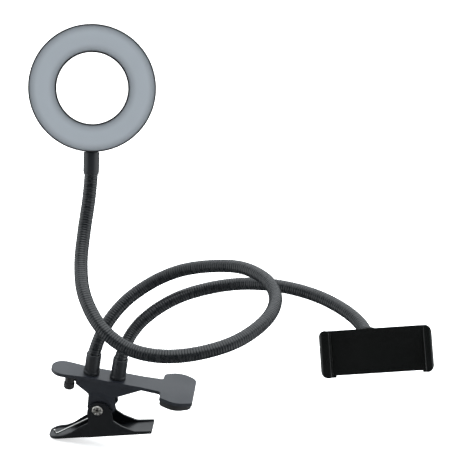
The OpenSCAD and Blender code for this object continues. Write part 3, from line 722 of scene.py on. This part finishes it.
class RINGLIGHT_OT_clip(Build, bpy.types.Operator):
    """Build the clip: both levers, jaw pad, ferrules, gland, rivet and spring"""

    bl_idname = "ring_light.clip"
    bl_label = "Clip"

    def build(self, scene):
        look = scene.ring_light_clip
        # The upper lever's lighter colour holds a painted sheen on its top as well as its own grey.
        upper = moulded("Upper lever", look.upper_colour_and_sheen, (0.3, 0.4))
        lower = moulded("Lower lever", look.lower_colour, (0.3, 0.42))
        rubber = moulded("Jaw rubber", (0.012, 0.012, 0.013), (0.5, 0.62), 0.03 * MM, 1300.0, 0.0)
        place_piece(dressed("upper_lever", look.edge), "clip", upper, "lever_grey", "upper_lever")
        place_piece(dressed("upper_jaw_pad", look.edge), "clip", rubber, "pad_rubber", "upper_jaw_pad")
        place_piece(dressed("lower_lever", look.edge), "lower_clip", lower, "lower_black",
                    "lower_lever")
        self.ferrules()
        self.gland(rubber)
        self.rivet()
        self.spring()

    def ferrules(self):
        """Flanged ferrules that hold the arms' ends."""
        black = moulded("Ferrule", (0.012, 0.0135, 0.0155), (0.32, 0.42))
        bore = 4.9 * MM
        for node, x in FERRULES.items():
            place = Matrix.Translation((x, 0, PLATE_TOP))
            ferrule = lathe(f"{node}_body", [
                (bore, 1.2 * MM, 0), (2.2 * MM, 1.2 * MM, 0), (2.2 * MM, 0, 0), (6.2 * MM, 0, 0.2 * MM),
                (6.2 * MM, 1.9 * MM, 0.7 * MM), (5.75 * MM, 2.8 * MM, 0.5 * MM),
                (5.7 * MM, 17 * MM, 0.7 * MM), (bore, 17 * MM, 0.2 * MM)], place, 64)
            place_piece(ferrule, "clip", black, "ferrule_black", node)

    def gland(self, rubber):
        """Grooved outlet below the handle."""
        gland = lathe("gland_body", [
            (1.6 * MM, 0, 0), (3.7 * MM, 0, 0.1 * MM), (3.7 * MM, -4.4 * MM, 0.3 * MM),
            (3.2 * MM, -4.8 * MM, 0.1 * MM), (3.2 * MM, -5.6 * MM, 0.1 * MM),
            (4.1 * MM, -6.2 * MM, 0.3 * MM), (4.1 * MM, -10.1 * MM, 0.6 * MM),
            (3.3 * MM, -11.1 * MM, 0.5 * MM), (1.6 * MM, -11.1 * MM, 0.3 * MM)],
            Matrix.Translation(GLAND), 48)
        place_piece(gland, "clip", rubber, "gland_black", "cable_gland")

    def rivet(self):
        """Hollow rivet with heads rolled over in six petals."""
        nickel = bare_metal("Nickel rivet", (0.75, 0.73, 0.68), (0.4, 0.38, 0.34), (0.42, 0.55))
        face, tip = 9.35 * MM, 10.45 * MM
        half = [(1.1, tip - 1.4 * MM, 0.2), (1.25, tip - 0.2 * MM, 0.1), (2.3, tip, 0.3),
                (3.5, tip - 0.1 * MM, 0.4), (4.15, face + 0.35 * MM, 0.25), (4.15, face, 0), (2.4, face, 0)]
        outline = [(r * MM, h, k * MM) for r, h, k in half]
        outline += [(r, -h, k) for r, h, k in reversed(outline)]
        rivet = lathe("rivet_body", outline, RIVET_FRONT, 72, 4)
        flat = RIVET_FRONT.inverted()
        for v in rivet.data.vertices:
            p = flat @ v.co
            r = Vector((p.x, p.y)).length
            if 1.6 * MM < r < 3.7 * MM and abs(p.z) > face + 0.2 * MM:
                petal = max(0, cos(6 * atan2(p.y, p.x))) ** 2
                p.z -= (1 if p.z > 0 else -1) * 0.6 * MM * petal
                v.co = RIVET_FRONT @ p
        place_piece(rivet, "clip", nickel, "nickel", "pivot_rivet")

    def spring(self):
        """Torsion spring: half its coils and a leg on each lever."""
        steel = bare_metal("Spring wire", (0.72, 0.72, 0.7), (0.42, 0.42, 0.4), (0.2, 0.34))
        coil_r, pitch, wire = 5 * MM, 1.8 * MM, 0.75 * MM
        tilt = Matrix.Rotation(radians(-16), 4, "Y")

        def coil(side, turn):
            found = []
            for i in range(turn // 10 + 1):
                a = pi + side * radians(10 * i)
                found.append(PIVOT + Vector((
                    coil_r * cos(a), side * (0.95 * MM + pitch * i / 36), coil_r * sin(a))))
            return found

        upper_leg = [(5, 3.75, 4), (4.2, 3.9, 9), (2.2, 3.9, 14), (1.2, 3.9, 18.4), (0.6, 3.9, 21.6),
                     (-0.4, 3.9, 22.9), (-1.6, 3.9, 23.1)]
        lower_leg = [(-4, -4, -7.2), (-12, -4, -10.6), (-24, -4, -15.8), (-34.4, -4, -20.3),
                     (-36.2, -4, -20.7), (-37.3, -4, -19.8), (-37.4, -4, -17.6)]
        upper = coil(1, 540) + [PIVOT + Vector(p) * MM for p in upper_leg]
        lower = coil(-1, 590) + [PIVOT + tilt @ (Vector(p) * MM) for p in lower_leg]
        for name, path, body in (("upper_spring_half", upper, "clip"),
                                 ("lower_spring_half", lower, "lower_clip")):
            route = [tuple(p / MM) for p in path]
            line = stations(route, (0, len(route) - 1), 0.5 * MM)
            wire_piece = tube(f"{name}_wire", line, lambda s: wire, 14)
            place_piece(wire_piece, body, steel, "spring_steel", name)


class RINGLIGHT_OT_holder(Build, bpy.types.Operator):
    """Build the phone holder and its ball joint"""

    bl_idname = "ring_light.holder"
    bl_label = "Phone holder"

    def build(self, scene):
        look = scene.ring_light_holder
        black = moulded("Holder plastic", look.colour, (0.2, 0.28), 0.008 * MM, 1500.0, 0.04)
        rubber = moulded("Jaw pad rubber", (0.012, 0.012, 0.012), (0.5, 0.6), 0.03 * MM, 1300.0, 0.0)
        for node, body in (("holder_front_plate", "phone_holder"), ("holder_back_shell", "phone_holder"),
                           ("fixed_jaw", "phone_holder"), ("sliding_jaw", "sliding_jaw"),
                           ("ball_lock_nut", "lock_nut")):
            place_piece(dressed(node, look.edge), body, black, "holder_black", node)
        for node, body in (("fixed_jaw_pad", "phone_holder"), ("sliding_jaw_pad", "sliding_jaw")):
            place_piece(dressed(node, look.edge), body, rubber, "jaw_rubber", node)
        self.stud()

    def stud(self):
        """Ball, neck, and the shank that sits in the arm's end."""
        black = moulded("Ball stud", (0.014, 0.015, 0.016), (0.26, 0.36))
        ball = 5 * MM
        start = acos(2 / 5)
        outline = [(0, -ball, 0)]
        outline += [(ball * sin(a), -ball * cos(a), 0) for a in
                    ((pi - (pi / 2 - start)) * k / 20 for k in range(1, 21))]
        outline += [(2 * MM, 8.7 * MM, 0.3 * MM), (2.42 * MM, 9.2 * MM, 0.1 * MM),
                    (2.42 * MM, 14.2 * MM, 0.3 * MM), (0, 14.2 * MM, 0)]
        place_piece(lathe("ball_stud_body", outline, STUD_FRAME, 64), "phone_arm_end", black,
                    "stud_black", "ball_stud")


class RINGLIGHT_OT_inner(Build, bpy.types.Operator):
    """Give the CAD pieces that stay as they are, mostly inner ones, their materials"""

    bl_idname = "ring_light.inner"
    bl_label = "Inner pieces"

    def build(self, scene):
        lead = moulded("Lead", (0.012, 0.012, 0.013), (0.45, 0.55))
        steel = bare_metal("Plated steel", (0.55, 0.56, 0.57), (0.34, 0.34, 0.33), (0.28, 0.45))
        finishes = {
            "ring_lead": lead, "ferrule_nuts": steel, "ring_neck_nut": steel, "cover_screws": steel,
            "board_screws": steel, "holder_screws": steel, "jaw_spring": steel,
            "led_board": moulded("Board", (0.75, 0.75, 0.71), (0.4, 0.5)),
            "leds": moulded("Diode resin", (0.8, 0.62, 0.16), (0.15, 0.25)),
            "ball_seat": moulded("Ball seat", (0.34, 0.35, 0.36), (0.35, 0.45)),
        }
        for node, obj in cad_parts.items():
            for start, finish in finishes.items():
                if node.startswith(start):
                    obj.data.materials.clear()
                    obj.data.materials.append(finish)


class RINGLIGHT_OT_stage(Build, bpy.types.Operator):
    """Set up the floor, the studio light and the camera"""

    bl_idname = "ring_light.stage"
    bl_label = "Stage"

    def build(self, scene):
        look = scene.ring_light_stage
        self.camera(scene, look)
        self.floor(look)
        self.surround(scene)
        self.softbox("left", (-1.0, 0.2, 0.7), (0.6, 1.0), 5)
        self.softbox("right", (1.0, 0.3, 0.7), (0.6, 1.0), 4)
        self.softbox("top", (0.0, 0.5, 1.3), (1.2, 0.9), 12)
        scene.view_settings.view_transform = "Standard"

    def camera(self, scene, look):
        data = bpy.data.cameras.new("camera")
        data.lens = look.lens
        obj = bpy.data.objects.new("camera", data)
        scene.collection.objects.link(obj)
        turn = Matrix.Rotation(pi / 2 - look.elevation, 4, "X") @ Matrix.Rotation(look.roll, 4, "Z")
        back = turn @ Vector((0, 0, look.distance))
        obj.matrix_world = Matrix.Translation(Vector(look.aim) + back) @ turn
        scene.camera = obj

    def floor(self, look):
        """Wide floor that touches the object's lowest point."""
        half = 6.0
        level = CAD_BOX[0][2] - 0.5 * MM
        corners = [(x, y, level) for x, y in ((-half, -half), (half, -half), (half, half), (-half, half))]
        floor_obj = new_object("floor", corners, [(0, 1, 2, 3)])
        made = Finish("Floor paper", Roughness=0.9)
        fibres = made.group("grain", Scale=400.0)
        made.colour(fibres["Patches"], look.floor_colour, lighter(look.floor_colour, 0.3))
        made.shader.inputs["Emission Color"].default_value = (1, 1, 1, 1)
        made.shader.inputs["Emission Strength"].default_value = look.floor_glow
        floor_obj.data.materials.append(made.material)
        floor_obj.visible_glossy = False

    def surround(self, scene):
        """Dark surround with light sides, top and far wall, and plain white to the eye."""
        world = bpy.data.worlds.new("studio")
        world.use_nodes = True
        tree = world.node_tree
        background = tree.nodes["Background"]
        split = tree.nodes.new("ShaderNodeSeparateXYZ")
        tree.links.new(tree.nodes.new("ShaderNodeTexCoord").outputs["Generated"], split.inputs["Vector"])
        sideways = math_node(tree, "ABSOLUTE", split.outputs["X"], 0)
        strips = math_node(tree, "MULTIPLY", ramp(tree, sideways, 0.66, 0.86), 1.2)
        far = math_node(tree, "MULTIPLY", ramp(tree, split.outputs["Y"], 0.0, 0.6), 1.7)
        wall = math_node(tree, "MULTIPLY", far, ramp(tree, split.outputs["Z"], 0.1, 0.3))
        top = math_node(tree, "MULTIPLY", ramp(tree, split.outputs["Z"], 0.7, 0.9), 2.2)
        lit = math_node(tree, "MAXIMUM", strips, math_node(tree, "MAXIMUM", wall, top))
        level = math_node(tree, "ADD", lit, 0.05)
        seen = tree.nodes.new("ShaderNodeLightPath").outputs["Is Camera Ray"]
        strength = math_node(tree, "MAXIMUM", level, seen)
        background.inputs["Color"].default_value = (0.93, 0.97, 1, 1)
        tree.links.new(strength, background.inputs["Strength"])
        scene.world = world

    def softbox(self, name, place, size, power):
        """Large soft light that faces the object's middle."""
        data = bpy.data.lights.new(name, "AREA")
        data.shape = "RECTANGLE"
        data.size, data.size_y = size
        data.energy = power
        obj = bpy.data.objects.new(name, data)
        obj.visible_glossy = False
        bpy.context.scene.collection.objects.link(obj)
        middle = (Vector(CAD_BOX[0]) + Vector(CAD_BOX[1])) / 2
        way = middle - Vector(place)
        obj.matrix_world = Matrix.Translation(place) @ way.to_track_quat("-Z", "Y").to_matrix().to_4x4()


# ---- Panel and registration ----

OPERATORS = (RINGLIGHT_OT_arms, RINGLIGHT_OT_ring, RINGLIGHT_OT_clip, RINGLIGHT_OT_holder,
             RINGLIGHT_OT_inner, RINGLIGHT_OT_stage)
SETTINGS = {
    "ring_light_arms": ArmSettings, "ring_light_ring": RingSettings, "ring_light_clip": ClipSettings,
    "ring_light_holder": HolderSettings, "ring_light_stage": StageSettings,
}


class RINGLIGHT_PT_panel(bpy.types.Panel):
    """Lists the ring light's pieces and their settings"""

    bl_label = "Ring Light"
    bl_idname = "RINGLIGHT_PT_panel"
    bl_space_type = "VIEW_3D"
    bl_region_type = "UI"
    bl_category = "Ring Light"

    def draw(self, context):
        for operator in OPERATORS:
            self.layout.operator(operator.bl_idname)
        for attribute in SETTINGS:
            box = self.layout.box()
            settings = getattr(context.scene, attribute)
            for name in settings.__annotations__:
                box.prop(settings, name)


CLASSES = (*SETTINGS.values(), *OPERATORS, RINGLIGHT_PT_panel)


def register():
    for cls in CLASSES:
        bpy.utils.register_class(cls)
    for attribute, settings in SETTINGS.items():
        setattr(bpy.types.Scene, attribute, PointerProperty(type=settings))


def unregister():
    for attribute in SETTINGS:
        delattr(bpy.types.Scene, attribute)
    for cls in reversed(CLASSES):
        bpy.utils.unregister_class(cls)


def main():
    register()
    bpy.ops.ring_light.arms()
    bpy.ops.ring_light.ring()
    bpy.ops.ring_light.clip()
    bpy.ops.ring_light.holder()
    bpy.ops.ring_light.inner()
    bpy.ops.ring_light.stage()
    bpy.context.view_layer.update()


if __name__ == "__main__":
    main()
